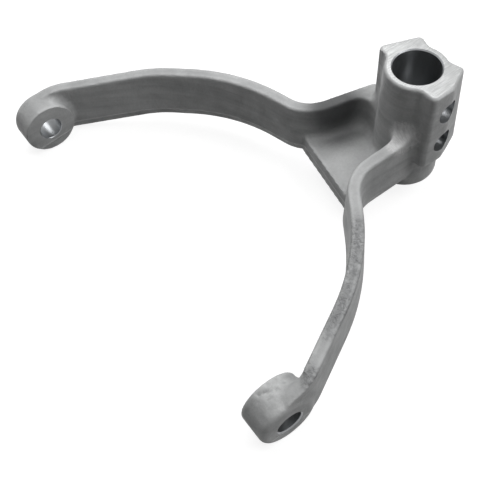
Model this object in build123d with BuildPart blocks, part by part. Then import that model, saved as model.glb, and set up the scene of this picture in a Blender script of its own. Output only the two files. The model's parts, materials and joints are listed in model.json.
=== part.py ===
from build123d import *
import os
from math import cos, radians, sin, sqrt, tan

# Transmission shift fork, one iron casting with machined bores. Millimetres.
# The origin is the mouth of the rail bore on the machined top face of the hub.
# +Z runs up the rail, the fork opens towards -X, and the pin bores lie along Y.

# Hub: a drafted barrel round the rail bore, with an ear on its front and one on its back
RAIL_R = 10.0
HUB_WALL = 3.2
HUB_FOOT = 7.3
HUB_DRAFT = 1.5
HUB_TOP_R = 1.0
HUB_UNDER_R = 3.0
BORE_CHAMFER = 0.5
EAR_LENGTH = 41.0
EAR_REACH = 18.4
EAR_END = 13.9
EAR_NOSE = 12.4
EAR_NOSE_DRAFT = 4.5
EAR_THROAT = (11.5, 4.0)
EAR_THROAT_R = 4.0
EAR_COVE_R = 5.0
EAR_COVE_END_R = 2.0
EAR_CORNER_R = 2.2
EAR_UNDER_R = 5.0
EAR_UNDER_REACH = 21.4
FRONT_EAR_START = -8.1
FRONT_EAR_PAD = 10.6
BACK_EAR_START = -4.7
BACK_EAR_PAD = 3.0

# Cross bolt holes through the front ear
CROSS_HOLE_R = 5.1
CROSS_HOLE_X = 2.0
CROSS_HOLE_DEPTHS = (12.8, 29.8)

# Canted plane of the fork's top edge: swing from -X towards +Y, side shift, drop and cant
FORK_SWING = 10.5
FORK_OFFSET = 5.0
FORK_DROP = 25.7
FORK_CANT = 6.3

# Arms: widths at the top, at the parting line and underneath, their depth,
# and the height of the parting line above their underside
ARM_TOP = 5.4
ARM_PARTING = 7.4
ARM_UNDER = 4.4
ARM_DEPTH = 26.0
FOOT_HEIGHT = 5.0
TOP_EDGE_R = 1.0
PARTING_EDGE_R = 3.0
UNDER_EDGE_R = 1.5

# Tip bosses with their pin bores, on either side of the sleeve that the fork straddles
PIN_X = -118.6
PIN_Z = -54.0
PIN_R = 5.5
PIN_CHAMFER = 0.5
SLEEVE_Y = 31.0
SLEEVE_HALF_SPAN = 86.2
BOSS_R = 12.6
BOSS_LENGTH = 14.0
BOSS_OUTER_R = 2.5
BOSS_INNER_R = 0.8

# Corners of the arms' centre lines: distance out along the fork, and distance to the side.
# The shoulder and the elbow are measured in from the bosses' inner faces.
ROOT = (0.0, 14.6)
BACK_ROOT = (-4.0, 4.0)
BACK_HEEL = (4.5, 15.2)
NECK = (37.0, 20.0)
SHOULDER_OUT = 53.0
SHOULDER_IN = 29.2
ELBOW_OUT = 85.5
ELBOW_IN = 4.2
HEEL_R = 6.0
NECK_R = 17.5
SHOULDER_R = 90.0
ELBOW_R = 60.0
ARM_SPLAY = 21.5
TIP_BEND_R = 20.0

# Ramp that brings each arm's top down to the crown of its boss
TIP_RAMP = 13.0
TIP_RAMP_END = 2.0
TIP_RAMP_R = 30.0
TIP_CROWN_R = 6.0
TIP_LAP = 0.5

# Web, the pocket between the ribs above it, and the flare where the ribs climb the hub
WEB_DEPTH = 16.0
WEB_EDGE = 38.0
POCKET_END = 10.5
POCKET_SLOPE = 1.6
POCKET_CORNER_R = 7.0
POCKET_FLOOR_R = 3.5
WALL_LAP = 0.1
FLARE_R = 8.0
FLARE_SINK = 3.0

top = Plane.XY
hub_r = RAIL_R + HUB_WALL
hub_length = FORK_DROP + ARM_DEPTH + HUB_FOOT
shoulder = (SHOULDER_OUT, SLEEVE_HALF_SPAN - SHOULDER_IN)
elbow = (ELBOW_OUT, SLEEVE_HALF_SPAN - ELBOW_IN)
parting_depth = ARM_DEPTH - FOOT_HEIGHT
wall_slope = (ARM_PARTING - ARM_TOP) / parting_depth
swing = radians(180.0 - FORK_SWING)
cant = radians(FORK_CANT)
fork_x = (cos(swing) * cos(cant), sin(swing) * cos(cant), -sin(cant))
fork_up = (cos(swing) * sin(cant), sin(swing) * sin(cant), cos(cant))
hub_shift = FORK_OFFSET * sin(swing), -FORK_OFFSET * cos(swing)


def fork_level(depth):
    """Canted plane at a depth below the fork's top edge, measured along the rail."""
    return Plane(origin=(*hub_shift, -FORK_DROP - depth), x_dir=fork_x, z_dir=fork_up)


def out_along(point, depth):
    """Distance of a point out along the fork, in the canted plane at this depth."""
    return fork_level(depth).to_local_coords(point).X


def at_depth(edge, depth):
    """Whether an edge lies in the canted plane at this depth."""
    return all(abs(fork_level(depth).to_local_coords(edge @ t).Z) < 0.1 for t in (0, 0.5, 1))


def on_fork(x, y):
    """Distance out along the fork and to its side of a point given from above."""
    x, y = x - hub_shift[0], y - hub_shift[1]
    return (x * cos(swing) + y * sin(swing)) / cos(cant), y * cos(swing) - x * sin(swing)


def tip_corners(bend, slope, flat_y):
    """Where an arm turns to run flush with its boss, and where it ends inside the boss."""
    inside = on_fork(PIN_X, flat_y)
    past = on_fork(PIN_X + 1, flat_y)
    flat_slope = (past[1] - inside[1]) / (past[0] - inside[0])
    s = (inside[1] - bend[1] + slope * bend[0] - flat_slope * inside[0]) / (slope - flat_slope)
    return (s, bend[1] + slope * (s - bend[0])), inside


def draw_ribs(outline, depth, width, mode=Mode.ADD):
    """Draws both ribs and arms at one depth, joined behind the pocket."""
    pocket_end = POCKET_END + POCKET_SLOPE * depth / parting_depth
    outer = SLEEVE_HALF_SPAN + BOSS_LENGTH - ARM_PARTING / 2
    front_slope = (elbow[1] - shoulder[1]) / (elbow[0] - shoulder[0])
    front_tip = tip_corners(shoulder, front_slope, SLEEVE_Y - outer)
    back_tip = tip_corners((elbow[0], -elbow[1]), -tan(radians(ARM_SPLAY)), SLEEVE_Y + outer)
    back_corners = [(s, -w) for s, w in (BACK_ROOT, BACK_HEEL, NECK, shoulder, elbow)]
    back_radii = [HEEL_R, NECK_R, SHOULDER_R, ELBOW_R, TIP_BEND_R]
    with BuildLine() as front_line:
        FilletPolyline(ROOT, NECK, shoulder, *front_tip, radius=[NECK_R, SHOULDER_R, TIP_BEND_R])
    trace(front_line.edges(), line_width=width, mode=mode)
    with BuildLine() as back_line:
        FilletPolyline(*back_corners, *back_tip, radius=back_radii)
    trace(back_line.edges(), line_width=width, mode=mode)
    with BuildLine() as joining_block:
        inner_side = ROOT[1] + 1
        Polyline(*back_corners[:2], (pocket_end, -inner_side), (pocket_end, inner_side), ROOT, close=True)
    make_face(joining_block.edges(), mode=mode)
    corners = outline.vertices().filter_by(lambda v: abs(out_along(v, depth) - pocket_end) < 0.01)
    fillet(corners, POCKET_CORNER_R)


def wishbone(depth, width):
    """Outline of both ribs and arms at one depth."""
    with BuildSketch(fork_level(depth)) as outline:
        draw_ribs(outline, depth, width)
    return outline.sketch


def pocket(depth):
    """Face between the ribs at one depth, a little into their walls and out past the web's edge."""
    far = WEB_EDGE + POCKET_CORNER_R
    with BuildSketch(fork_level(depth)) as outline:
        with BuildLine() as around:
            Polyline((0, -NECK[1]), (0, NECK[1]), (far, NECK[1]), (far, -NECK[1]), close=True)
        make_face(around.edges())
        draw_ribs(outline, depth, ARM_TOP + wall_slope * depth - WALL_LAP, Mode.SUBTRACT)
    return outline.sketch.faces().sort_by(SortBy.AREA)[-1]


def barrel_r(depth):
    """Radius of the hub's barrel at a depth below its top face."""
    return hub_r + depth * tan(radians(HUB_DRAFT))


def ear(depth, side, start, pad):
    """Outline of an ear at one depth: side is -1 for the front ear and 1 for the back one."""
    inner_r = barrel_r(depth) - WALL_LAP
    cove_x = start - EAR_COVE_R
    cove_y = side * sqrt((inner_r + EAR_COVE_R) ** 2 - cove_x**2)
    on_barrel = Vector(cove_x, cove_y) * (inner_r / (inner_r + EAR_COVE_R))
    on_ear = Vector(start, cove_y)
    with BuildSketch(top.offset(-depth)) as outline:
        with BuildLine():
            Polyline(
                on_ear,
                (start, side * EAR_REACH),
                (start + pad, side * EAR_REACH),
                (EAR_END + depth * tan(radians(EAR_NOSE_DRAFT)), side * EAR_NOSE),
                (EAR_THROAT[0], side * EAR_THROAT[1]),
                (0, 0),
                on_barrel,
            )
            TangentArc(on_ear, on_barrel, tangent=(0, -side))
        make_face()
    return outline.sketch


def from_rail(point):
    """Distance of a point from the axis of the rail bore."""
    return Vector(point.X, point.Y).length


with BuildPart() as arms:
    # Ribs and arms widen to the parting line, then draw in to the underside
    parting = wishbone(parting_depth, ARM_PARTING)
    loft([wishbone(0, ARM_TOP), parting], ruled=True)
    fillet(arms.edges().filter_by(lambda e: at_depth(e, 0)), TOP_EDGE_R)
    loft([parting, wishbone(ARM_DEPTH, ARM_UNDER)], ruled=True)
    fillet(arms.edges().filter_by(lambda e: at_depth(e, ARM_DEPTH)), UNDER_EDGE_R)
    fillet(arms.edges().filter_by(lambda e: at_depth(e, parting_depth)), PARTING_EDGE_R)
    # Each arm's top runs down to the crown of its boss
    for way in (1, -1):
        mid_y = SLEEVE_Y + way * (SLEEVE_HALF_SPAN + BOSS_LENGTH / 2)
        start_z = -FORK_DROP - on_fork(PIN_X + TIP_RAMP, mid_y)[0] * sin(cant)
        run_in = (TIP_RAMP + TIP_RAMP_R / 2, start_z + TIP_RAMP_R / 2 * tan(cant))
        crown = (-TIP_RAMP_END, PIN_Z + BOSS_R - TIP_LAP)
        past = (-TIP_RAMP_END - BOSS_R, crown[1])
        high_z = start_z + BOSS_R
        with BuildSketch(Plane(origin=(PIN_X, mid_y, 0), x_dir=(1, 0, 0), z_dir=(0, -1, 0))):
            with BuildLine():
                FilletPolyline(run_in, (TIP_RAMP, start_z), crown, past, radius=[TIP_RAMP_R, TIP_CROWN_R])
                Polyline(past, (past[0], high_z), (run_in[0], high_z), run_in)
            make_face()
        extrude(amount=BOSS_LENGTH, both=True, mode=Mode.SUBTRACT)

with BuildPart() as hollow:
    # Space above the web, with its floor rounded up into the ribs
    loft([pocket(0), pocket(WEB_DEPTH)], ruled=True)
    floor = hollow.faces().sort_by(lambda f: f.center().Z)[0]
    rounded = floor.edges().filter_by(lambda e: out_along(e @ 0.5, WEB_DEPTH) < WEB_EDGE + POCKET_FLOOR_R)
    fillet(rounded, POCKET_FLOOR_R)

with BuildPart() as web:
    # Floor between the ribs
    for depth in (2 * TOP_EDGE_R, ARM_DEPTH):
        with BuildSketch(fork_level(depth)):
            with BuildLine():
                back = [(s, -w) for s, w in (BACK_ROOT, BACK_HEEL, (WEB_EDGE, NECK[1]))]
                Polyline(*back, (WEB_EDGE, NECK[1]), ROOT, close=True)
            make_face()
    loft(ruled=True)
    add(hollow.part, mode=Mode.SUBTRACT)

with BuildPart() as flare:
    # Cove where the ribs' tops climb the hub
    extrude(wishbone(FLARE_SINK, ARM_TOP), amount=FLARE_SINK + FLARE_R + hub_r * sin(cant), dir=(0, 0, 1))
    flare_z = -FORK_DROP - (hub_r + FLARE_R) * sin(cant)
    with BuildSketch(Plane.XZ):
        with BuildLine():
            cove_top = (barrel_r(-flare_z - FLARE_R), flare_z + FLARE_R)
            cove_end = (cove_top[0] + FLARE_R, flare_z)
            below = flare_z - FLARE_SINK
            Polyline(cove_top, (0, cove_top[1]), (0, below), (cove_end[0], below), cove_end)
            TangentArc(cove_end, cove_top, tangent=(-1, 0))
        make_face()
    revolve(axis=Axis.Z, mode=Mode.INTERSECT)

with BuildPart() as hub:
    # Barrel round the rail bore, with its two ears
    with BuildSketch(Plane.XZ):
        with BuildLine():
            Polyline((0, 0), (hub_r, 0), (barrel_r(hub_length), -hub_length), (0, -hub_length), close=True)
        make_face()
    revolve(axis=Axis.Z)
    for shape in ((-1, FRONT_EAR_START, FRONT_EAR_PAD), (1, BACK_EAR_START, BACK_EAR_PAD)):
        loft([ear(0, *shape), ear(EAR_LENGTH, *shape)], ruled=True)
    uprights = edges().filter_by(lambda e: abs((e @ 0).Z - (e @ 1).Z) > EAR_LENGTH - 1)
    fillet(uprights.filter_by(lambda e: from_rail(e @ 0.5) > EAR_REACH - 0.5), EAR_CORNER_R)
    creases = edges().filter_by(lambda e: abs((e @ 0).Z - (e @ 1).Z) > EAR_LENGTH - 1)
    creases = creases.filter_by(lambda e: hub_r - 1 < from_rail(e @ 0.5) < barrel_r(EAR_LENGTH) + 0.5)
    fillet(creases.filter_by(lambda e: (e @ 0.5).X < 0), EAR_COVE_END_R)
    throats = edges().filter_by(lambda e: abs((e @ 0).Z - (e @ 1).Z) > EAR_LENGTH - 1)
    throats = throats.filter_by(lambda e: from_rail(e @ 0.5) < barrel_r(EAR_LENGTH))
    fillet(throats.filter_by(lambda e: (e @ 0.5).X > 0 and abs((e @ 0.5).Y) > 1), EAR_THROAT_R)
    # The ears' undersides are rounded up towards their outer ends
    with BuildSketch(Plane.XZ):
        with BuildLine():
            turn = (EAR_UNDER_REACH - EAR_UNDER_R, -EAR_LENGTH)
            rise = (EAR_UNDER_REACH, EAR_UNDER_R - EAR_LENGTH)
            TangentArc(turn, rise, tangent=(1, 0))
            outside = EAR_UNDER_REACH + 1
            Polyline(rise, (outside, rise[1]), (outside, turn[1] - 1), (turn[0], turn[1] - 1), turn)
        make_face()
    revolve(axis=Axis.Z, mode=Mode.SUBTRACT)
    fillet(edges().filter_by(lambda e: abs((e @ 0.5).Z + hub_length) < 0.1), HUB_UNDER_R)
    fillet(edges().filter_by(lambda e: abs((e @ 0).Z) < 0.01 and abs((e @ 0.5).Z) < 0.01), HUB_TOP_R)

with BuildPart() as bosses:
    # Round bosses at the tips, with soft outer rims
    for way in (1, -1):
        inner_y = SLEEVE_Y + way * SLEEVE_HALF_SPAN
        with BuildSketch(Plane(origin=(PIN_X, inner_y, PIN_Z), x_dir=(1, 0, 0), z_dir=(0, way, 0))):
            Circle(BOSS_R)
        extrude(amount=BOSS_LENGTH)
    rims = edges().filter_by(GeomType.CIRCLE)
    outer_y = SLEEVE_HALF_SPAN + BOSS_LENGTH
    fillet(rims.filter_by(lambda e: abs(abs((e @ 0).Y - SLEEVE_Y) - outer_y) < 0.1), BOSS_OUTER_R)
    fillet(rims.filter_by(lambda e: abs(abs((e @ 0).Y - SLEEVE_Y) - SLEEVE_HALF_SPAN) < 0.1), BOSS_INNER_R)

with BuildPart() as shift_fork:
    for body in (hub, flare, arms, web, bosses):
        add(body.part)

    # Machined bores
    with BuildSketch(top):
        Circle(RAIL_R)
    extrude(amount=-hub_length, mode=Mode.SUBTRACT)
    for depth in CROSS_HOLE_DEPTHS:
        with BuildSketch(Plane(origin=(CROSS_HOLE_X, 0, -depth), x_dir=(1, 0, 0), z_dir=(0, -1, 0))):
            Circle(CROSS_HOLE_R)
        extrude(amount=EAR_REACH + CROSS_HOLE_R, mode=Mode.SUBTRACT)
    with BuildSketch(Plane(origin=(PIN_X, SLEEVE_Y, PIN_Z), x_dir=(1, 0, 0), z_dir=(0, 1, 0))):
        Circle(PIN_R)
    extrude(amount=SLEEVE_HALF_SPAN + BOSS_LENGTH + 1, both=True, mode=Mode.SUBTRACT)
    rings = edges().filter_by(GeomType.CIRCLE)
    rail_rings = rings.filter_by(lambda e: abs(e.radius - RAIL_R) < 0.01)
    rail_mouths = rail_rings.filter_by(lambda e: min(abs((e @ 0).Z), abs((e @ 0).Z + hub_length)) < 0.01)
    chamfer(rail_mouths, BORE_CHAMFER)
    pin_rings = edges().filter_by(GeomType.CIRCLE).filter_by(lambda e: abs(e.radius - PIN_R) < 0.01)
    chamfer(pin_rings, PIN_CHAMFER)

shift_fork.part.label = "shift_fork"
os.makedirs("parts", exist_ok=True)
export_step(shift_fork.part, "parts/shift_fork.step")
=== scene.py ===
import json
from math import hypot, pi, radians

import bmesh
import bpy
import numpy as np
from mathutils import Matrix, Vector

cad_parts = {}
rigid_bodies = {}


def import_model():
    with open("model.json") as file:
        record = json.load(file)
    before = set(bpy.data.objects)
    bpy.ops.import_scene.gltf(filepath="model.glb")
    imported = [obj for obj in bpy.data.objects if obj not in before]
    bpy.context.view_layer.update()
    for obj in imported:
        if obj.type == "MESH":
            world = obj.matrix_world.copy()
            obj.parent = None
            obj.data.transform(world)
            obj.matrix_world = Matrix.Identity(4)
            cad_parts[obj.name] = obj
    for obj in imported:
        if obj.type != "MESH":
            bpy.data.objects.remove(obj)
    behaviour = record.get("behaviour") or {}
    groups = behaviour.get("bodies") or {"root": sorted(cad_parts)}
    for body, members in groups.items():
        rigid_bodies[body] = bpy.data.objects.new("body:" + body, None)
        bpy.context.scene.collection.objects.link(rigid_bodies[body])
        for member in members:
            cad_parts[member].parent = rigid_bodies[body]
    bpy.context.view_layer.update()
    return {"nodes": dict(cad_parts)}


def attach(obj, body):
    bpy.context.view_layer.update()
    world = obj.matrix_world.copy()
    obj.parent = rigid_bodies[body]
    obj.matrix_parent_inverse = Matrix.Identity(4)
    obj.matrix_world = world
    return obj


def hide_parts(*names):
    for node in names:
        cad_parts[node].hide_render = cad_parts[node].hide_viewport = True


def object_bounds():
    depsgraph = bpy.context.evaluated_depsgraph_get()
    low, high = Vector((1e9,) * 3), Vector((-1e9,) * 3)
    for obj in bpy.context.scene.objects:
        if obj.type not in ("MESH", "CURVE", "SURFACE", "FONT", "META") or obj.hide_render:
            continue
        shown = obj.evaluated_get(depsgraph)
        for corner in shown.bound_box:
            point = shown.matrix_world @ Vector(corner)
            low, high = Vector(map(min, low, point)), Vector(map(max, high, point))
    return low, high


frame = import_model()
bpy.ops.object.select_all(action="DESELECT")

# Camera. The fork is seen from above its open side, on a long lens, with the picture tipped a little.
camera_place = (-0.1844, -0.1586, 0.2267)
camera_turn = (34.497, 3.584, -35.897)
camera_lens = 60
camera_film = 36
camera_near = 0.01

bpy.ops.object.camera_add(location=camera_place, rotation=[radians(angle) for angle in camera_turn])
camera = bpy.context.object
camera.name = "camera"
camera.data.lens = camera_lens
camera.data.sensor_width = camera_film
camera.data.clip_start = camera_near
bpy.context.scene.camera = camera
bpy.context.scene.view_settings.view_transform = "Standard"

# Raw casting. One piece of ductile iron, poured in a sand mould, so that it comes out with no bores
# yet, with soft corners, and with every inner corner filled by a fillet.
rail_r = 0.010
hub_foot_z = -0.059
cross_hole_r = 0.0051
cross_hole_x = 0.002
cross_hole_levels = (-0.0128, -0.0298)
ear_inside_y = -0.009
pin_x, pin_z = -0.1186, -0.054
pin_r = 0.0055
bore_chamfer = 0.0005
boss_faces = ((0.1172, 0.1312), (-0.0552, -0.0692))
sand_grain = 0.0007
same_place = 0.00001

node = frame["nodes"]["shift_fork"]
node.select_set(True)
bpy.context.view_layer.objects.active = node
bpy.ops.object.duplicate()
casting = bpy.context.object
casting.name = "casting"
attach(casting, "root")
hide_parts("shift_fork")


def in_a_bore(spot):
    """Whether a spot lies on the wall of a bore that is machined later."""
    if hypot(spot.x, spot.y) < rail_r + bore_chamfer - same_place:
        return -same_place > spot.z > hub_foot_z + same_place
    if hypot(spot.x - pin_x, spot.z - pin_z) < pin_r + bore_chamfer - same_place:
        return not any(abs(spot.y - face) < same_place for pair in boss_faces for face in pair)
    from_holes = [hypot(spot.x - cross_hole_x, spot.z - level) for level in cross_hole_levels]
    return spot.y < ear_inside_y and min(from_holes) < cross_hole_r + 2 * same_place


bpy.ops.object.mode_set(mode="EDIT")
bpy.ops.mesh.select_mode(type="FACE")
bpy.ops.mesh.select_all(action="SELECT")
bpy.ops.mesh.remove_doubles(threshold=same_place / 10)
bpy.ops.mesh.select_all(action="DESELECT")
mesh = bmesh.from_edit_mesh(casting.data)
for face in mesh.faces:
    face.select = in_a_bore(face.calc_center_median())
bmesh.update_edit_mesh(casting.data)
bpy.ops.mesh.delete(type="FACE")
bpy.ops.mesh.select_mode(type="EDGE")
bpy.ops.mesh.select_non_manifold(extend=False, use_wire=False, use_multi_face=False)
bpy.ops.mesh.fill_holes(sides=0)
bpy.ops.mesh.select_mode(type="VERT")
bpy.ops.mesh.select_all(action="DESELECT")
bpy.ops.object.mode_set(mode="OBJECT")

grain = casting.modifiers.new("grain", "REMESH")
grain.mode = "VOXEL"
grain.voxel_size = sand_grain
grain.use_smooth_shade = True
bpy.ops.object.modifier_apply(modifier=grain.name)


def hollowness(blur):
    """How far each point of the casting sinks below its neighbours, in metres, evened out over them."""
    skin = casting.data
    spots = np.empty(len(skin.vertices) * 3)
    skin.vertices.foreach_get("co", spots)
    spots = spots.reshape(-1, 3)
    normals = np.empty(len(skin.vertices) * 3)
    skin.vertex_normals.foreach_get("vector", normals)
    normals = normals.reshape(-1, 3)
    ends = np.empty(len(skin.edges) * 2, dtype=int)
    skin.edges.foreach_get("vertices", ends)
    one, other = ends.reshape(-1, 2).T
    count = np.bincount(one, minlength=len(spots)) + np.bincount(other, minlength=len(spots))

    def around(values):
        total = np.bincount(one, values[other], len(spots)) + np.bincount(other, values[one], len(spots))
        return total / count

    middles = np.column_stack([around(spots[:, axis]) for axis in range(3)])
    sink = np.einsum("ij,ij->i", middles - spots, normals)
    for step in range(blur):
        sink = 0.5 * sink + 0.5 * around(sink)
    return sink, spots


def soften(chosen, spread, passes):
    """Smooths the chosen points of the casting and those around them."""
    casting.data.vertices.foreach_set("select", chosen)
    bpy.ops.object.mode_set(mode="EDIT")
    for step in range(spread):
        bpy.ops.mesh.select_more()
    bpy.ops.mesh.vertices_smooth(factor=0.5, repeat=passes)
    bpy.ops.mesh.select_all(action="DESELECT")
    bpy.ops.object.mode_set(mode="OBJECT")


# Every edge is eased a little, and then the inner corners fill up, most of all at the bosses and the
# hub. An inner corner is where the points sink deeper than a limit below their neighbours
cove_waves = 4
corner_sink = 0.00004
boss_corner_sink = 0.00002
boss_coves_x = pin_x + 0.02
hub_corner_sink = 0.00003
hub_coves_x = -0.03

bpy.context.tool_settings.mesh_select_mode = (True, False, False)
soften(np.ones(len(casting.data.vertices), dtype=bool), spread=0, passes=1)
for wave in range(cove_waves):
    sink, spots = hollowness(blur=4)
    soften(sink > corner_sink, spread=1, passes=8)
for wave in range(cove_waves):
    sink, spots = hollowness(blur=5)
    soften((sink > boss_corner_sink) & (spots[:, 0] < boss_coves_x), spread=2, passes=14)
for wave in range(cove_waves):
    sink, spots = hollowness(blur=5)
    soften((sink > hub_corner_sink) & (spots[:, 0] > hub_coves_x), spread=2, passes=12)

# The front arm's top runs into its boss's crown over a soft saddle. It lies in part of a ring round
# the pin, between the boss's inner end and the arm's outer wall
saddle_ring = (0.009, 0.021)
saddle_foot = -0.052
saddle_sides = (-0.0575, -0.0648)

from_pin = np.hypot(spots[:, 0] - pin_x, spots[:, 2] - pin_z)
in_ring = (from_pin > saddle_ring[0]) & (from_pin < saddle_ring[1])
in_arm = (spots[:, 1] < saddle_sides[0]) & (spots[:, 1] > saddle_sides[1]) & (spots[:, 2] > saddle_foot)
soften(in_ring & in_arm, spread=0, passes=40)

# A wide cove stands between the barrel and the back ear, from just under the hub's top to the rib
ear_cove = (-0.0052, 0.0126)
ear_cove_reach = 0.0045
ear_cove_levels = (-0.001, -0.03)

beside_ear = np.hypot(spots[:, 0] - ear_cove[0], spots[:, 1] - ear_cove[1]) < ear_cove_reach
above_rib = (spots[:, 2] < ear_cove_levels[0]) & (spots[:, 2] > ear_cove_levels[1])
soften(beside_ear & above_rib, spread=0, passes=70)

# Knocks. The front boss's crown carries a patch of small round dents in its iron, knocked in while
# the casting was handled, and one longer dent across it.
small_dents = (
    (-0.1155, -0.0572), (-0.1176, -0.0583), (-0.1166, -0.0606), (-0.1192, -0.0566), (-0.1204, -0.0588),
    (-0.1143, -0.0592), (-0.1218, -0.0610),
)
small_depth = 0.0003
small_reach = 0.0014
long_dent = (
    (-0.1236, -0.0574), (-0.1222, -0.0580), (-0.1207, -0.0586), (-0.1192, -0.0593), (-0.1178, -0.0599),
)
long_depth = 0.00042
long_reach = 0.0011


def knock_in(spot, depth, reach):
    """Presses a small round dent into the crown of the front boss."""
    mesh = bmesh.from_edit_mesh(casting.data)
    for point in mesh.verts:
        point.select = hypot(point.co.x - spot[0], point.co.y - spot[1]) < sand_grain and point.co.z > pin_z
    mesh.select_flush_mode()
    bmesh.update_edit_mesh(casting.data)
    bpy.ops.transform.translate(
        value=(0, 0, -depth),
        use_proportional_edit=True,
        proportional_edit_falloff="SMOOTH",
        proportional_size=reach,
    )


bpy.ops.object.mode_set(mode="EDIT")
for spot in small_dents:
    knock_in(spot, small_depth, small_reach)
for spot in long_dent:
    knock_in(spot, long_depth, long_reach)
bpy.ops.mesh.select_all(action="DESELECT")
bpy.ops.object.mode_set(mode="OBJECT")

# Casting skin. Shot blasting leaves the ductile iron an even, dull grey with a fine peened grain. The
# crests are rubbed a little lighter and carry a painted highlight, the arms' tops are darker, and painted
# shade darkens the hollows and the pocket's deep corner.
iron_shades = ("#a1a2a2", "#bdbebe")
streak_grey = "#7a7b7c"
scab_grey = "#5f6061"
# Colour for rubbed wear on the crests and the parting line, and for a painted highlight on the crests
speckle_grey = "#707172"
rubbed_and_sheen_grey = "#dcdddd"
# Painted shade colour for the hollows and the pocket's deep corner
painted_shade_grey = "#3c3d3e"
ground_grey = "#e6e6e6"


def to_linear(hex_colour):
    """Linear red, green, blue and alpha of an sRGB hex value."""
    channels = [int(hex_colour[i : i + 2], 16) / 255 for i in (1, 3, 5)]
    return [c / 12.92 if c <= 0.04045 else ((c + 0.055) / 1.055) ** 2.4 for c in channels] + [1]


def add_node(tree, kind, settings=None, inputs=None, links=None):
    """Adds a node, sets its properties and sockets, and links outputs of other nodes into it."""
    node = tree.nodes.new(kind)
    for name, value in (settings or {}).items():
        setattr(node, name, value)
    for name, value in (inputs or {}).items():
        node.inputs[name].default_value = value
    for name, source in (links or {}).items():
        tree.links.new(source, node.inputs[name])
    return node


blasted_iron = bpy.data.materials.new("shot_blasted_ductile_iron")
blasted_iron.use_nodes = True
tree = blasted_iron.node_tree
tree.nodes.clear()
place = add_node(tree, "ShaderNodeTexCoord")
apart = add_node(tree, "ShaderNodeSeparateXYZ", links={0: place.outputs["Object"]})

# Peened grain, drawn a little coarser than the real 0.3 mm shot marks so that it shows, over the
# low waves of the sand and broad clouds of tone
shot_mark = 0.0011
sand_wave = 0.006
cloud_size = 0.020

peening = add_node(
    tree,
    "ShaderNodeTexNoise",
    inputs={"Scale": 1 / shot_mark, "Detail": 3.0, "Roughness": 0.7},
    links={"Vector": place.outputs["Object"]},
)
sand_waves = add_node(
    tree,
    "ShaderNodeTexNoise",
    inputs={"Scale": 1 / sand_wave, "Detail": 2.0, "Roughness": 0.5},
    links={"Vector": place.outputs["Object"]},
)
clouds = add_node(
    tree,
    "ShaderNodeTexNoise",
    inputs={"Scale": 1 / cloud_size, "Detail": 5.0, "Roughness": 0.6},
    links={"Vector": place.outputs["Object"]},
)

# Long faint streaks run level along the canted walls, where the pattern was drawn from the sand
cant = 6.2
streak_length = 0.055
streak_height = 0.0032

level_stretch = add_node(
    tree,
    "ShaderNodeMapping",
    inputs={
        "Rotation": (0, radians(-cant), 0),
        "Scale": (1 / streak_length, 1 / streak_length, 1 / streak_height),
    },
    links={"Vector": place.outputs["Object"]},
)
streaks = add_node(
    tree,
    "ShaderNodeTexNoise",
    inputs={"Scale": 1.0, "Detail": 3.0, "Roughness": 0.55},
    links={"Vector": level_stretch.outputs["Vector"]},
)

# The mould's parting line, 21 mm below the arms' tops in the fork's canted plane, stands a little
# proud along both walls of each arm, out from where the arms leave the hub
fork_up = (-0.10789, 0.02, 0.99396)
arm_top_level = -0.025545
parting_level = -0.046418
flash_width = 0.0007
arms_from_x = (-0.022, -0.03)

height = add_node(
    tree,
    "ShaderNodeVectorMath",
    settings={"operation": "DOT_PRODUCT"},
    inputs={1: fork_up},
    links={0: place.outputs["Object"]},
)
off_line = add_node(
    tree,
    "ShaderNodeMath",
    settings={"operation": "SUBTRACT"},
    inputs={1: parting_level},
    links={0: height.outputs["Value"]},
)
line_gap = add_node(
    tree,
    "ShaderNodeMath",
    settings={"operation": "ABSOLUTE"},
    links={0: off_line.outputs["Value"]},
)
flash_line = add_node(
    tree,
    "ShaderNodeMapRange",
    settings={"interpolation_type": "SMOOTHSTEP"},
    inputs={"From Max": flash_width, "To Min": 1.0, "To Max": 0.0},
    links={"Value": line_gap.outputs["Value"]},
)
on_arms = add_node(
    tree,
    "ShaderNodeMapRange",
    inputs={"From Min": arms_from_x[0], "From Max": arms_from_x[1]},
    links={"Value": apart.outputs["X"]},
)
flash = add_node(
    tree,
    "ShaderNodeMath",
    settings={"operation": "MULTIPLY"},
    links={0: flash_line.outputs["Result"], 1: on_arms.outputs["Result"]},
)

# Scabby sand marks lie in patches along the front arm's top
top_edge = (0.002, 0.0008)
front_arm_y = (-0.02, -0.03)
scab_size = 0.0022

on_top = add_node(
    tree,
    "ShaderNodeMapRange",
    settings={"interpolation_type": "SMOOTHSTEP"},
    inputs={"From Min": arm_top_level - top_edge[0], "From Max": arm_top_level - top_edge[1]},
    links={"Value": height.outputs["Value"]},
)
on_front_arm = add_node(
    tree,
    "ShaderNodeMapRange",
    settings={"interpolation_type": "SMOOTHSTEP"},
    inputs={"From Min": front_arm_y[0], "From Max": front_arm_y[1]},
    links={"Value": apart.outputs["Y"]},
)
scab_zone = add_node(
    tree,
    "ShaderNodeMath",
    settings={"operation": "MULTIPLY"},
    links={0: on_top.outputs["Result"], 1: on_front_arm.outputs["Result"]},
)
scab_patches = add_node(
    tree,
    "ShaderNodeMapRange",
    settings={"interpolation_type": "SMOOTHSTEP"},
    inputs={"From Min": 0.42, "From Max": 0.56},
    links={"Value": clouds.outputs["Fac"]},
)
scab_here = add_node(
    tree,
    "ShaderNodeMath",
    settings={"operation": "MULTIPLY"},
    links={0: scab_zone.outputs["Value"], 1: scab_patches.outputs["Result"]},
)
scab_marks = add_node(
    tree,
    "ShaderNodeTexNoise",
    inputs={"Scale": 1 / scab_size, "Detail": 2.0, "Roughness": 0.6, "Distortion": 1.6},
    links={"Vector": place.outputs["Object"]},
)
scabs = add_node(
    tree,
    "ShaderNodeMath",
    settings={"operation": "MULTIPLY"},
    links={0: scab_here.outputs["Value"], 1: scab_marks.outputs["Fac"]},
)

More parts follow.
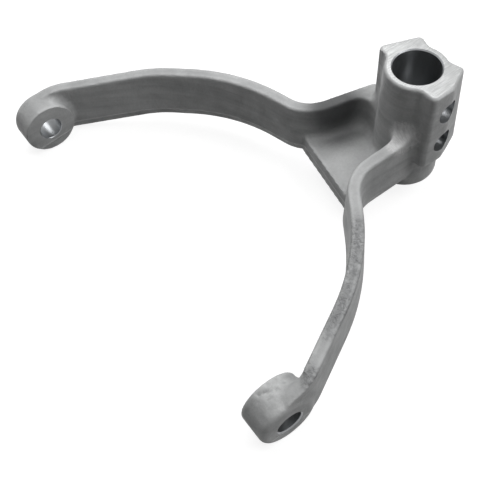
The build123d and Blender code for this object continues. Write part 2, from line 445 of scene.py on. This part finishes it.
# A patch with a ragged rim where the gate was ground off, on the front rib where it climbs the hub
ground_at = (-0.0135, -0.0095, -0.025)
ground_span = (0.0085, 0.0115)
ground_ragged = 0.006
grit_width = 0.0006
grit_length = 0.004

from_gate = add_node(
    tree,
    "ShaderNodeVectorMath",
    settings={"operation": "DISTANCE"},
    inputs={1: ground_at},
    links={0: place.outputs["Object"]},
)
ragged = add_node(
    tree,
    "ShaderNodeMath",
    settings={"operation": "MULTIPLY_ADD"},
    inputs={1: ground_ragged},
    links={0: peening.outputs["Fac"], 2: from_gate.outputs["Value"]},
)
ground = add_node(
    tree,
    "ShaderNodeMapRange",
    settings={"interpolation_type": "SMOOTHSTEP"},
    inputs={"From Min": ground_span[0], "From Max": ground_span[1], "To Min": 1.0, "To Max": 0.0},
    links={"Value": ragged.outputs["Value"]},
)
grinding = add_node(
    tree,
    "ShaderNodeMapping",
    inputs={"Scale": (1 / grit_width, 1 / grit_length, 1 / grit_length)},
    links={"Vector": place.outputs["Object"]},
)
grit_lines = add_node(
    tree,
    "ShaderNodeTexNoise",
    inputs={"Scale": 1.0, "Detail": 3.0, "Roughness": 0.6},
    links={"Vector": grinding.outputs["Vector"]},
)
ground_lines = add_node(
    tree,
    "ShaderNodeMath",
    settings={"operation": "MULTIPLY"},
    links={0: ground.outputs["Result"], 1: grit_lines.outputs["Fac"]},
)

# Painted shade in the deep corner of the pocket, where the hub and the ribs keep the light out
pocket_shade_at = (-0.020, 0.025, -0.031)
pocket_shade_span = (0.006, 0.020)
pocket_shade_share = 0.88

from_pocket_shade = add_node(
    tree,
    "ShaderNodeVectorMath",
    settings={"operation": "DISTANCE"},
    inputs={1: pocket_shade_at},
    links={0: place.outputs["Object"]},
)
pocket_painted_shade = add_node(
    tree,
    "ShaderNodeMapRange",
    settings={"interpolation_type": "SMOOTHSTEP"},
    inputs={"From Min": pocket_shade_span[0], "From Max": pocket_shade_span[1], "To Min": pocket_shade_share, "To Max": 0.0},
    links={"Value": from_pocket_shade.outputs["Value"]},
)

# Tones: clouds, streaks, darker arm tops with their scabs, and dark specks between the shot marks
streak_most = 0.34
arm_top_share = 0.2
speckle_most = 0.22

tone = add_node(
    tree,
    "ShaderNodeMix",
    settings={"data_type": "RGBA"},
    inputs={6: to_linear(iron_shades[0]), 7: to_linear(iron_shades[1])},
    links={0: clouds.outputs["Fac"]},
)
streak_share = add_node(
    tree,
    "ShaderNodeMapRange",
    inputs={"From Min": 0.4, "From Max": 0.66, "To Max": streak_most},
    links={"Value": streaks.outputs["Fac"]},
)
streaked = add_node(
    tree,
    "ShaderNodeMix",
    settings={"data_type": "RGBA"},
    inputs={7: to_linear(streak_grey)},
    links={0: streak_share.outputs["Result"], 6: tone.outputs[2]},
)
arm_tops = add_node(
    tree,
    "ShaderNodeMath",
    settings={"operation": "MULTIPLY"},
    links={0: on_top.outputs["Result"], 1: on_arms.outputs["Result"]},
)
scab_share = add_node(
    tree,
    "ShaderNodeMath",
    settings={"operation": "MULTIPLY_ADD"},
    inputs={1: arm_top_share},
    links={0: arm_tops.outputs["Value"], 2: scabs.outputs["Value"]},
)
scabbed = add_node(
    tree,
    "ShaderNodeMix",
    settings={"data_type": "RGBA"},
    inputs={7: to_linear(scab_grey)},
    links={0: scab_share.outputs["Value"], 6: streaked.outputs[2]},
)
speckle_share = add_node(
    tree,
    "ShaderNodeMapRange",
    inputs={"From Min": 0.3, "From Max": 0.72, "To Min": speckle_most, "To Max": 0.0},
    links={"Value": peening.outputs["Fac"]},
)
speckled = add_node(
    tree,
    "ShaderNodeMix",
    settings={"data_type": "RGBA"},
    inputs={7: to_linear(speckle_grey)},
    links={0: speckle_share.outputs["Result"], 6: scabbed.outputs[2]},
)

# Wear and painted light: the crests and the parting line are rubbed lighter, the crests also get a
# painted highlight, painted shade darkens the hollows and the pocket's corner, and the ground patch is bare
crest_sheen_and_wear_most = 0.15
rubbed_and_sheen_most = 0.4
hollow_shade_most = 0.22

crest = add_node(tree, "ShaderNodeAttribute", settings={"attribute_name": "crest"})
# Crests are lightened as rubbed wear and as a painted highlight
crest_sheen_and_wear_share = add_node(
    tree,
    "ShaderNodeMapRange",
    inputs={"From Min": 0.2, "To Max": crest_sheen_and_wear_most},
    links={"Value": crest.outputs["Fac"]},
)
crest_or_flash = add_node(
    tree,
    "ShaderNodeMath",
    settings={"operation": "MAXIMUM"},
    links={0: crest_sheen_and_wear_share.outputs["Result"], 1: flash.outputs["Value"]},
)
rubbed_and_sheen_share = add_node(
    tree,
    "ShaderNodeMath",
    settings={"operation": "MINIMUM"},
    inputs={1: rubbed_and_sheen_most},
    links={0: crest_or_flash.outputs["Value"]},
)
rubbed_and_sheen = add_node(
    tree,
    "ShaderNodeMix",
    settings={"data_type": "RGBA"},
    inputs={7: to_linear(rubbed_and_sheen_grey)},
    links={0: rubbed_and_sheen_share.outputs["Value"], 6: speckled.outputs[2]},
)
# Painted shade darkens the hollows
hollow_shade_share = add_node(
    tree,
    "ShaderNodeMapRange",
    inputs={"From Min": -0.15, "From Max": -0.9, "To Max": hollow_shade_most},
    links={"Value": crest.outputs["Fac"]},
)
painted_shade_share = add_node(
    tree,
    "ShaderNodeMath",
    settings={"operation": "MAXIMUM"},
    links={0: hollow_shade_share.outputs["Result"], 1: pocket_painted_shade.outputs["Result"]},
)
shaded_tone = add_node(
    tree,
    "ShaderNodeMix",
    settings={"data_type": "RGBA"},
    inputs={7: to_linear(painted_shade_grey)},
    links={0: painted_shade_share.outputs["Value"], 6: rubbed_and_sheen.outputs[2]},
)
skin_tone = add_node(
    tree,
    "ShaderNodeMix",
    settings={"data_type": "RGBA"},
    inputs={7: to_linear(ground_grey)},
    links={0: ground_lines.outputs["Value"], 6: shaded_tone.outputs[2]},
)
skin_rough = add_node(
    tree,
    "ShaderNodeMapRange",
    inputs={"From Min": 0.3, "From Max": 0.7, "To Min": 0.5, "To Max": 0.68},
    links={"Value": sand_waves.outputs["Fac"]},
)

# Relief: sand waves, then flash and scabs, then the grinding lines and the peened grain
wave_bump = add_node(
    tree,
    "ShaderNodeBump",
    inputs={"Strength": 0.7, "Distance": 0.0006},
    links={"Height": sand_waves.outputs["Fac"]},
)
flash_bump = add_node(
    tree,
    "ShaderNodeBump",
    inputs={"Strength": 0.8, "Distance": 0.0002},
    links={"Height": flash.outputs["Value"], "Normal": wave_bump.outputs["Normal"]},
)
scab_bump = add_node(
    tree,
    "ShaderNodeBump",
    inputs={"Strength": 1.0, "Distance": 0.0007},
    links={"Height": scabs.outputs["Value"], "Normal": flash_bump.outputs["Normal"]},
)
grit_bump = add_node(
    tree,
    "ShaderNodeBump",
    inputs={"Strength": 1.0, "Distance": 0.0002},
    links={"Height": ground_lines.outputs["Value"], "Normal": scab_bump.outputs["Normal"]},
)
grain_bump = add_node(
    tree,
    "ShaderNodeBump",
    inputs={"Strength": 0.7, "Distance": 0.00016},
    links={"Height": peening.outputs["Fac"], "Normal": grit_bump.outputs["Normal"]},
)
skin = add_node(
    tree,
    "ShaderNodeBsdfPrincipled",
    inputs={"Metallic": 0.1, "Specular IOR Level": 0.35},
    links={
        "Base Color": skin_tone.outputs[2],
        "Roughness": skin_rough.outputs["Result"],
        "Normal": grain_bump.outputs["Normal"],
    },
)
add_node(tree, "ShaderNodeOutputMaterial", links={"Surface": skin.outputs["BSDF"]})
casting.data.materials.clear()
casting.data.materials.append(blasted_iron)

# Machined faces. The hub's top and the bosses' inner faces are milled flat, and the blasting then
# dulls the bosses'. The rail bore, the two bolt holes and the pin bores are drilled and reamed, with
# small chamfers.
hub_mill_depth = 0.00005
hub_mill_size = 0.06
boss_mill_depth = 0.00025
boss_mill_size = 0.03
cross_hole_mouth_y = -0.0184
cross_hole_chamfer = 0.0001

# Milled iron is bright, with fine straight scratches of the cutter along the hub's top
mill_shades = ("#6c6d6d", "#c8c9c9")
scratch_length = 0.006
scratch_width = 0.0006

milled_iron = bpy.data.materials.new("milled_ductile_iron")
milled_iron.use_nodes = True
tree = milled_iron.node_tree
tree.nodes.clear()
place = add_node(tree, "ShaderNodeTexCoord")
swept = add_node(
    tree,
    "ShaderNodeMapping",
    inputs={"Scale": (1 / scratch_length, 1 / scratch_width, 1 / scratch_width)},
    links={"Vector": place.outputs["Object"]},
)
scratches = add_node(
    tree,
    "ShaderNodeTexNoise",
    inputs={"Scale": 1.0, "Detail": 4.0, "Roughness": 0.6},
    links={"Vector": swept.outputs["Vector"]},
)
scratch_bump = add_node(
    tree,
    "ShaderNodeBump",
    inputs={"Strength": 0.7, "Distance": 0.0002},
    links={"Height": scratches.outputs["Fac"]},
)
scratch_tone = add_node(
    tree,
    "ShaderNodeMix",
    settings={"data_type": "RGBA"},
    inputs={6: to_linear(mill_shades[0]), 7: to_linear(mill_shades[1])},
    links={0: scratches.outputs["Fac"]},
)
cut_face = add_node(
    tree,
    "ShaderNodeBsdfPrincipled",
    inputs={"Metallic": 0.7, "Roughness": 0.5},
    links={"Base Color": scratch_tone.outputs[2], "Normal": scratch_bump.outputs["Normal"]},
)
add_node(tree, "ShaderNodeOutputMaterial", links={"Surface": cut_face.outputs["BSDF"]})

# Bored iron is smoother and darker, with soft mirror streaks down the wall and faint tool marks
bored_grey = "#8c8e90"
tool_mark = 0.0012

bored_iron = bpy.data.materials.new("bored_ductile_iron")
bored_iron.use_nodes = True
tree = bored_iron.node_tree
tree.nodes.clear()
place = add_node(tree, "ShaderNodeTexCoord")
tool_marks = add_node(
    tree,
    "ShaderNodeTexNoise",
    inputs={"Scale": 1 / tool_mark, "Detail": 3.0},
    links={"Vector": place.outputs["Object"]},
)
mark_bump = add_node(
    tree,
    "ShaderNodeBump",
    inputs={"Strength": 0.3, "Distance": 0.00008},
    links={"Height": tool_marks.outputs["Fac"]},
)
bore_wall = add_node(
    tree,
    "ShaderNodeBsdfPrincipled",
    inputs={"Base Color": to_linear(bored_grey), "Metallic": 0.9, "Roughness": 0.32},
    links={"Normal": mark_bump.outputs["Normal"]},
)
add_node(tree, "ShaderNodeOutputMaterial", links={"Surface": bore_wall.outputs["BSDF"]})


def finish_cutter(name, finish):
    """Names the cutter in hand, turns its faces outwards and gives it the finish that it leaves."""
    cutter = bpy.context.object
    cutter.name = name
    bpy.ops.object.mode_set(mode="EDIT")
    bpy.ops.mesh.select_all(action="SELECT")
    bpy.ops.mesh.normals_make_consistent(inside=False)
    bpy.ops.object.mode_set(mode="OBJECT")
    cutter.data.materials.append(finish)
    return cutter


def cut_away(cutter):
    """Takes a cutter's shape out of the casting and puts the cutter away."""
    bpy.ops.object.select_all(action="DESELECT")
    casting.select_set(True)
    bpy.context.view_layer.objects.active = casting
    cut = casting.modifiers.new("cut", "BOOLEAN")
    cut.operation = "DIFFERENCE"
    cut.solver = "EXACT"
    cut.material_mode = "TRANSFER"
    cut.object = cutter
    bpy.ops.object.modifier_apply(modifier=cut.name)
    bpy.data.objects.remove(cutter)


def drill(name, mouth, turn, radius, length, chamfer):
    """Cutter for a bore that starts at its mouth and runs down its own -Z, chamfered at both ends."""
    over = 0.001
    sides = 128
    flare = (radius + chamfer + over) / radius
    bpy.ops.mesh.primitive_circle_add(
        vertices=sides, radius=radius + chamfer + over, fill_type="NGON", location=mouth, rotation=turn
    )
    bit = bpy.context.object
    bpy.ops.object.mode_set(mode="EDIT")
    bpy.ops.mesh.select_all(action="SELECT")
    axis = bit.matrix_world.to_3x3().col[2]
    bpy.ops.transform.translate(value=axis * over)
    bpy.ops.mesh.extrude_region_move(TRANSFORM_OT_translate={"value": axis * -(over + chamfer)})
    bpy.ops.transform.resize(value=(1 / flare,) * 3)
    bpy.ops.mesh.extrude_region_move(TRANSFORM_OT_translate={"value": axis * -(length - 2 * chamfer)})
    bpy.ops.mesh.extrude_region_move(TRANSFORM_OT_translate={"value": axis * -(over + chamfer)})
    bpy.ops.transform.resize(value=(flare,) * 3)
    bpy.ops.object.mode_set(mode="OBJECT")
    return finish_cutter(name, bored_iron)


hub_mill_at = (0, 0, hub_mill_size / 2 - hub_mill_depth)
bpy.ops.mesh.primitive_cube_add(size=hub_mill_size, location=hub_mill_at)
cut_away(finish_cutter("hub_mill", milled_iron))
for inner, outer in boss_faces:
    side = 1 if inner > outer else -1
    boss_mill_y = inner + side * (boss_mill_size / 2 - boss_mill_depth)
    bpy.ops.mesh.primitive_cube_add(size=boss_mill_size, location=(pin_x, boss_mill_y, pin_z))
    cut_away(finish_cutter("boss_mill", blasted_iron))
cut_away(drill("rail_reamer", (0, 0, -hub_mill_depth), (0, 0, 0), rail_r, -hub_foot_z, bore_chamfer))
for level in cross_hole_levels:
    mouth = (cross_hole_x, cross_hole_mouth_y, level)
    length = -cross_hole_mouth_y
    cut_away(drill("cross_drill", mouth, (pi / 2, 0, 0), cross_hole_r, length, cross_hole_chamfer))
for inner, outer in boss_faces:
    mouth = (pin_x, outer, pin_z)
    turn = (-pi / 2, 0, 0) if outer > inner else (pi / 2, 0, 0)
    cut_away(drill("pin_reamer", mouth, turn, pin_r, abs(outer - inner), bore_chamfer))

# The finished casting keeps its machined edges hard. Its crests and hollows are kept with it as an
# attribute, from -1 for a hollow to 1 for a crest, for the wear and painted highlight on its crests and the
# painted shade in its hollows
hard_edge = 35
full_crest = 0.00004

bpy.ops.object.select_all(action="DESELECT")
casting.select_set(True)
bpy.context.view_layer.objects.active = casting
bpy.ops.object.shade_smooth_by_angle(angle=radians(hard_edge))
sink = hollowness(blur=3)[0]
crests = casting.data.attributes.new("crest", "FLOAT", "POINT")
crests.data.foreach_set("value", np.clip(-sink / full_crest, -1, 1).astype(np.float32))

# Floor and light. The fork lies on a white studio floor under large soft lamps, one overhead and
# the others high behind it and on its right, so that its open side is the darker one.
floor_size = 6
floor_grey = "#404040"
seen_grey = "#8c8c8c"
seen_glow = 0.87
sky_glow = 0.05
lamp_size = 0.45
# Each lamp's name, place, tilt and heading in degrees, and power in watts
lamps = (
    ("high_lamp", (-0.08, 0.03, 0.66), 5, 270, 0.8),
    ("corner_lamp", (0.258, 0.348, 0.506), 40, 135, 1.3),
    ("back_lamp", (-0.06, 0.48, 0.506), 40, 180, 2.4),
    ("right_lamp", (0.258, -0.288, 0.506), 40, 45, 2.6),
)

bpy.ops.mesh.primitive_plane_add(size=floor_size, location=(0, 0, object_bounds()[0].z))
floor = bpy.context.object
floor.name = "floor"
bpy.ops.object.transform_apply(location=True, rotation=False, scale=False)
white_floor = bpy.data.materials.new("white_floor")
white_floor.use_nodes = True
sky = bpy.data.worlds.new("white_sky")
sky.use_nodes = True
bpy.context.scene.world = sky


def add_seen(tree):
    """Adds nodes that give 1 on rays from the camera, straight, mirrored or through glass."""
    rays = add_node(tree, "ShaderNodeLightPath")
    through = add_node(
        tree,
        "ShaderNodeMath",
        settings={"operation": "MAXIMUM"},
        links={0: rays.outputs["Is Glossy Ray"], 1: rays.outputs["Is Transmission Ray"]},
    )
    return add_node(
        tree,
        "ShaderNodeMath",
        settings={"operation": "MAXIMUM"},
        links={0: rays.outputs["Is Camera Ray"], 1: through.outputs["Value"]},
    )


# The floor is seen near white with the fork's soft shadow, but throws only a little light back
tree = white_floor.node_tree
tree.nodes.clear()
seen = add_seen(tree)
paint = add_node(tree, "ShaderNodeBsdfDiffuse", inputs={"Color": to_linear(floor_grey)})
seen_paint = add_node(tree, "ShaderNodeBsdfDiffuse", inputs={"Color": to_linear(seen_grey)})
glow = add_node(tree, "ShaderNodeEmission", inputs={"Color": (1, 1, 1, 1), "Strength": seen_glow})
shown = add_node(
    tree,
    "ShaderNodeAddShader",
    links={0: seen_paint.outputs["BSDF"], 1: glow.outputs["Emission"]},
)
surface = add_node(
    tree,
    "ShaderNodeMixShader",
    links={0: seen.outputs["Value"], 1: paint.outputs["BSDF"], 2: shown.outputs["Shader"]},
)
add_node(tree, "ShaderNodeOutputMaterial", links={"Surface": surface.outputs["Shader"]})
floor.data.materials.append(white_floor)

# The sky is seen white, and is nearly dark to everything else
tree = sky.node_tree
tree.nodes.clear()
seen = add_seen(tree)
dim = add_node(tree, "ShaderNodeBackground", inputs={"Color": (1, 1, 1, 1), "Strength": sky_glow})
white = add_node(tree, "ShaderNodeBackground", inputs={"Color": (1, 1, 1, 1), "Strength": 1.0})
both = add_node(
    tree,
    "ShaderNodeMixShader",
    links={0: seen.outputs["Value"], 1: dim.outputs["Background"], 2: white.outputs["Background"]},
)
add_node(tree, "ShaderNodeOutputWorld", links={"Surface": both.outputs["Shader"]})

for name, spot, tilt, heading, watts in lamps:
    bpy.ops.object.light_add(type="AREA", location=spot, rotation=(radians(tilt), 0, radians(heading)))
    lamp = bpy.context.object
    lamp.name = name
    lamp.data.shape = "DISK"
    lamp.data.size = lamp_size
    lamp.data.energy = watts
